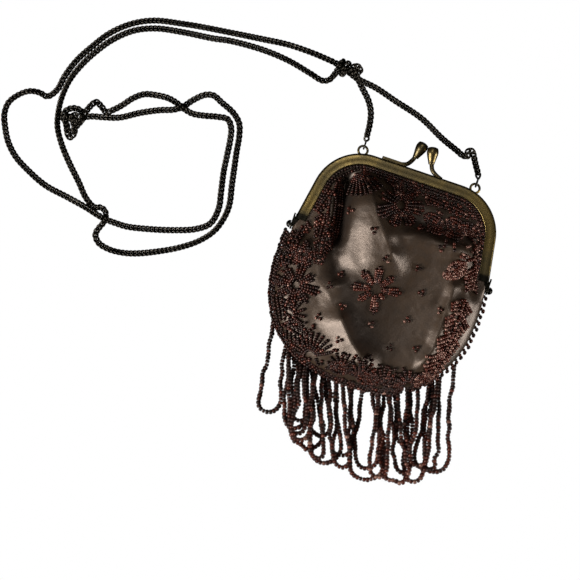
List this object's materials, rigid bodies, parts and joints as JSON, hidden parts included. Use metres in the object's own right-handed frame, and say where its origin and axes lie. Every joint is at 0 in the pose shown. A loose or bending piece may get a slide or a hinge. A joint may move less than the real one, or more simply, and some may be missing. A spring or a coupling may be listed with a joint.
{
  "type": "beaded coin purse",
  "caption": "Small beaded satin coin purse with a brass kiss-lock frame, looped bead fringe and a long knotted chain, lying on its back.",
  "frame": {"origin": "on the flat underside of the back panel, at the middle of the pouch's rounded outline", "axes": "+X across the purse to its right seen from the front, +Y up towards the clasp, +Z out of the front panel, up from the surface it lies on"},
  "size_m": [0.2675, 0.1957, 0.0181],
  "materials": {
    "brass": "antique, tarnished dark with worn bright edges",
    "dark_metal": "dark bronze plating",
    "satin": "satin weave with a strong sheen",
    "beads": "glossy dark garnet and copper-lined seed beads"
  },
  "bodies": {
    "root": {"frame_back": "brass", "frame_front": "brass", "hinge_rivet_left": "dark_metal", "hinge_rivet_right": "dark_metal", "jump_ring_left": "dark_metal", "jump_ring_right": "dark_metal", "pouch_front": "satin", "pouch_back": "satin", "bead_edge": "beads", "fringe": "beads", "chain_near": "dark_metal", "chain_far": "dark_metal"}
  },
  "joints": []
}
